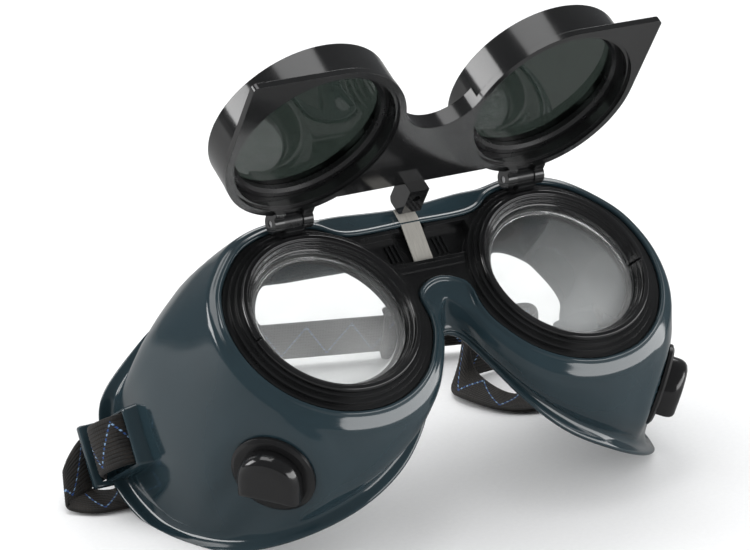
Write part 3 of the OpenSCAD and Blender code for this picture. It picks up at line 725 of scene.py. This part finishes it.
def make_retaining_ring(name, side):
    """Split ring with a sloped inner face and a raised bead round its front."""
    profile = rounded([(22.85, 2.9, 0.1), (22.85, 1.5, 0.15), (23.3, 1.2, 0.15),
                       (23.5, 0.5, 0.15), (24.0, 0.35, 0.2), (24.3, -0.75, 0.2),
                       (24.9, -0.95, 0.15), (25.2, -1.45, 0.5), (26.4, -1.45, 0.5),
                       (26.8, -0.9, 0.3), (26.8, -0.12, 0.1), (25.1, -0.12, 0.1),
                       (25.1, 2.9, 0.1)])
    start = RING_SPLIT[side] + SPLIT_HALF
    ring = lathe("retaining_ring_piece_" + name, profile, (side * LENS_X, 0, 0), WORN,
                 steps=180, arc=(start, start + 360 - 2 * SPLIT_HALF))
    finish_piece(ring, RING, "retaining_ring", "retaining_ring_" + name)


# ---------------------------------------------------------------- vent hoods

HOOD_R, HOOD_BACK = 9.2, 5.4     # half-round front, and length of the straight sides
HOOD_H = {"upper": 4.0, "lower": 5.6}
HOOD_WALL = 1.2
HOOD_TOP_R = 0.6                 # radius of the innermost ring of the hood's top
HOOD_SEAT = 2.2                  # top of a vent's flange above its place on the wall
HOOD_TURN = math.radians(-24)
MOUTH_SIDE = 2.2                 # side wall left beside the hood's mouth


def hood_outline(r, back, steps=28):
    """Half-round front and straight sides: closed [x, y] points."""
    arc = [(r * math.cos(math.pi * i / steps), r * math.sin(math.pi * i / steps))
           for i in range(steps + 1)]
    side = [back * (i + 1) / 8 for i in range(8)]
    end = [r * (1 - 2 * (i + 1) / 10) for i in range(9)]
    return (arc + [(-r, -y) for y in side] + [(-x, -back) for x in end]
            + [(r, -y) for y in side[::-1]])


def make_hood(name, kind, side):
    """Pillow-shaped hood over a vent: closed front and sides, open at its rear end."""
    height, wall = HOOD_H[kind], HOOD_WALL
    # [inset, height, end of the straight sides] of each ring, up the outside and down the inside
    outer = [(inset, share * height, HOOD_BACK - inset * 0.35) for inset, share in
             ((0, 0), (0, 0.4), (0.12, 0.58), (0.5, 0.76), (1.2, 0.9), (2.3, 0.98), (4.2, 1),
              (HOOD_R - HOOD_TOP_R, 1))]
    inner = [(inset, z, HOOD_BACK - 0.9) for inset, z in
             ((HOOD_R - HOOD_TOP_R, height - wall), (wall + 0.7, 0.72 * height),
              (wall, 0.4 * height), (wall, 0))]
    points = [(x, y, z) for inset, z, back in outer + inner
              for x, y in hood_outline(HOOD_R - inset, back)]
    rows = len(outer) + len(inner)
    n = len(points) // rows
    top = len(outer) - 1
    # the strip from the outer to the inner top ring gives way to two flat tops
    faces = [f for f in grid_faces(rows, n, True, True) if f[0] // n != top]
    faces += [list(range(row * n, (row + 1) * n)) for row in (top, top + 1)]
    m = (vent_matrix(kind, side) @ Matrix.Rotation(HOOD_TURN, 4, "Z")
         @ Matrix.Translation((0, 0, HOOD_SEAT)))
    hood = mesh_object("vent_hood_" + name, points, faces, m, 40)
    mouth = HOOD_R - MOUTH_SIDE
    boolean(hood, block("mouth", (-mouth, -HOOD_BACK - 3, -1),
                        (mouth, -HOOD_BACK + 3, 0.45 * height), m))
    smooth(hood, 40)
    finish_piece(hood, HOOD, "vent_cap", "vent_cap_" + name)


# ---------------------------------------------------------------- CAD pieces that stay

CAD_LOOKS = {"lens_carrier": CARRIER, "lens_gasket": GASKET, "leaf_spring": SPRING,
             "flip_frame": GLOSS, "hinge_pin": STEEL, "filter_lens": FILTER,
             "filter_ring": FILTER_RING, "vent_body": VENT, "strap_slider": SLIDER}
WELD_REACH = 0.002 * MM
SHARP_EDGE = math.radians(28)


def dress_cad_pieces():
    """Gives the CAD meshes that are still seen their material and smooth shading."""
    for node_name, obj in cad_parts.items():
        if obj.hide_render:
            continue
        look = next(m for key, m in CAD_LOOKS.items() if node_name.startswith(key))
        obj.data.materials.clear()
        obj.data.materials.append(look)
        for polygon in obj.data.polygons:
            polygon.use_smooth = True
        obj.modifiers.new("weld", "WELD").merge_threshold = WELD_REACH
        obj.modifiers.new("edges", "EDGE_SPLIT").split_angle = SHARP_EDGE


# ---------------------------------------------------------------- studio

FLOOR_HALF = 12.0                # metres
FADE_FROM, FADE_TO = 0.35, 1.6   # metres over which the floor fades into the background
CAMERA_PLACE = BENCH + Vector((-0.5238, -0.7958, 0.332 + LIFT * MM))
CAMERA_AZIMUTH, CAMERA_ELEVATION = math.radians(-32.06), math.radians(18.99)
FOCAL_LENGTH, SENSOR_WIDTH = 168, 36     # millimetres


def add_object(name, data):
    obj = bpy.data.objects.new(name, data)
    bpy.context.scene.collection.objects.link(obj)
    return obj


def make_floor():
    """White paper; glossy surfaces see it darker, and it fades out far from the goggles."""
    material, tree, shader = new_material("floor_paper")
    paper = mix_colour(tree, ramp(tree, noise(tree, 700, 3), 0, 1), (0.91, 0.915, 0.92),
                       (0.94, 0.945, 0.95))
    plug(tree, shader, {"Base Color": mix_colour(tree, mirrored(tree), paper, (0.3, 0.3, 0.3)),
                        "Roughness": 0.7})
    # the camera sees the far floor run into the white background
    place = node(tree, "ShaderNodeNewGeometry").outputs["Position"]
    distance = node(tree, "ShaderNodeVectorMath", {0: place}, operation="LENGTH").outputs["Value"]
    far = math_node(tree, "MULTIPLY", ramp(tree, distance, 0, 1, FADE_FROM, FADE_TO),
                    ray(tree, "Camera"))
    glow = node(tree, "ShaderNodeEmission", {"Color": (1, 1, 1, 1)})
    surface(tree, mix_shader(tree, far, shader.outputs[0], glow.outputs[0]))
    mesh = bpy.data.meshes.new("floor")
    h = FLOOR_HALF
    mesh.from_pydata([(-h, -h, 0), (h, -h, 0), (h, h, 0), (-h, h, 0)], [], [[0, 1, 2, 3]])
    mesh.materials.append(material)
    add_object("floor", mesh)


def area_light(name, place, target, size, power):
    """A rectangular light that the camera doesn't see; places in metres, power in watts."""
    data = bpy.data.lights.new(name, "AREA")
    data.shape, data.size, data.size_y, data.energy = "RECTANGLE", size[0], size[1], power
    light = add_object(name, data)
    light.location = place
    light.visible_camera = False
    light.rotation_euler = (Vector(target) - Vector(place)).to_track_quat("-Z", "Y").to_euler()


def make_camera():
    """The camera stands in front and to the left, looking down on the goggles."""
    data = bpy.data.cameras.new("camera")
    data.lens, data.sensor_width = FOCAL_LENGTH, SENSOR_WIDTH
    data.clip_start, data.clip_end = 0.05, 60
    camera = add_object("camera", data)
    camera.location = CAMERA_PLACE
    camera.rotation_euler = (math.pi / 2 - CAMERA_ELEVATION, 0, CAMERA_AZIMUTH)
    bpy.context.scene.camera = camera


def make_world():
    """A white studio; glossy surfaces see it darker, so that the soft boxes stand out in them."""
    world = bpy.data.worlds.new("studio")
    bpy.context.scene.world = world
    world.use_nodes = True
    tree = world.node_tree
    shade = mix_colour(tree, mirrored(tree), (0.8, 0.8, 0.8), (0.13, 0.134, 0.138))
    shade = mix_colour(tree, ray(tree, "Camera"), shade, (1, 1, 1))
    plug(tree, tree.nodes["Background"], {"Color": shade})


# ---------------------------------------------------------------- build

make_soft_body()
make_strap()
for side_name, side_sign in SIDES.items():
    make_lug("strap_lug_" + side_name, side_sign)
    make_clear_lens(side_name, side_sign)
    make_retaining_ring(side_name, side_sign)
    for vent_kind in VENTS:
        make_hood(vent_kind + "_" + side_name, vent_kind, side_sign)
dress_cad_pieces()

make_floor()
make_world()
make_camera()
area_light("key", (-1.1, 0.7, 0.6), (0, 0, 0.05), (0.6, 0.7), 8)
area_light("front", (1.1, -1.15, 0.32), (0, 0, 0.05), (2.3, 0.56), 16)
area_light("top", (-0.2, 0.3, 1.7), (0, 0, 0), (1.1, 1.1), 9)
area_light("rim", (0.8, 1.0, 0.9), (0, 0, 0.05), (1.0, 0.5), 4)
bpy.context.scene.view_settings.view_transform = "Standard"
bpy.context.scene.view_settings.look = "None"
